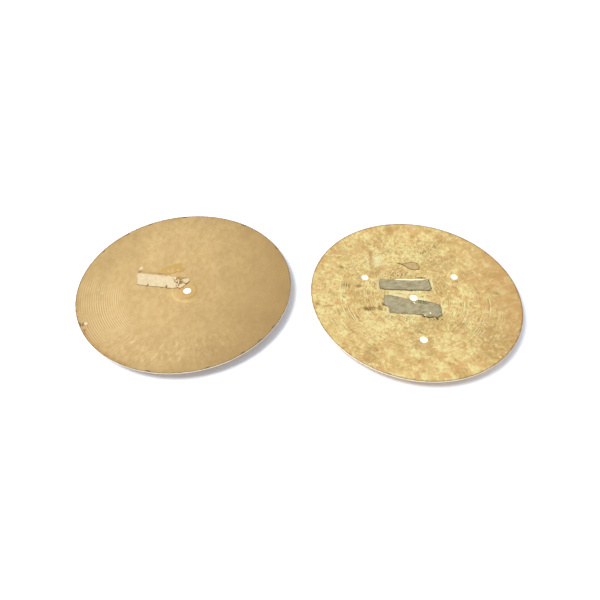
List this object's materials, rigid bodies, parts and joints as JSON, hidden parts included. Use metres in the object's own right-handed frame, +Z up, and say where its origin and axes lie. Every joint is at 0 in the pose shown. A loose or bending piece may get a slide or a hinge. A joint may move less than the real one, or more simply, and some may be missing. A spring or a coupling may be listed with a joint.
{
  "type": "pair of hand cymbals",
  "caption": "Pair of thin, bell-less bronze cymbal plates, hollow faces up, one with vent holes; old tape stuck on both; they swing closed rim to rim.",
  "frame": {"origin": "on the surface the plates lie on, midway along the pair", "axes": "+Z up, out of the hollow faces; +X from the centre of the one-hole plate to the centre of the plate with vent holes"},
  "size_m": [0.7405, 0.3556, 0.0177],
  "materials": {
    "plain_bronze": "lathed and hammered B20 bronze, dulled to a pale tan, fine rings, darker rim",
    "spotted_bronze": "lathed B20 bronze, brighter gold with brown spots, blotches and wear",
    "cream_tape": "old cream paper tape, matt, torn at one end",
    "amber_glue": "thin dried glue, amber, slightly glossy",
    "grey_tape": "old grey cloth tape, flat, ragged dark edges",
    "brown_glue": "dried glue drip, brown, darker at its edge"
  },
  "bodies": {
    "left_plate": {"left_cymbal": "plain_bronze", "cream_tape_strip": "cream_tape", "torn_tape_end": "cream_tape", "tape_scrap": "cream_tape", "amber_glue_film": "amber_glue"},
    "right_plate": {"right_cymbal": "spotted_bronze", "upper_grey_tape": "grey_tape", "lower_grey_tape": "grey_tape", "leaf_glue_drip": "brown_glue"}
  },
  "joints": [
    {"name": "right_plate_swing", "type": "hinge", "parent": "left_plate", "child": "right_plate", "pos_m": [0.00115, 0, 0.017], "axis": [0, -1, 0], "range_deg": [0, 180]}
  ]
}
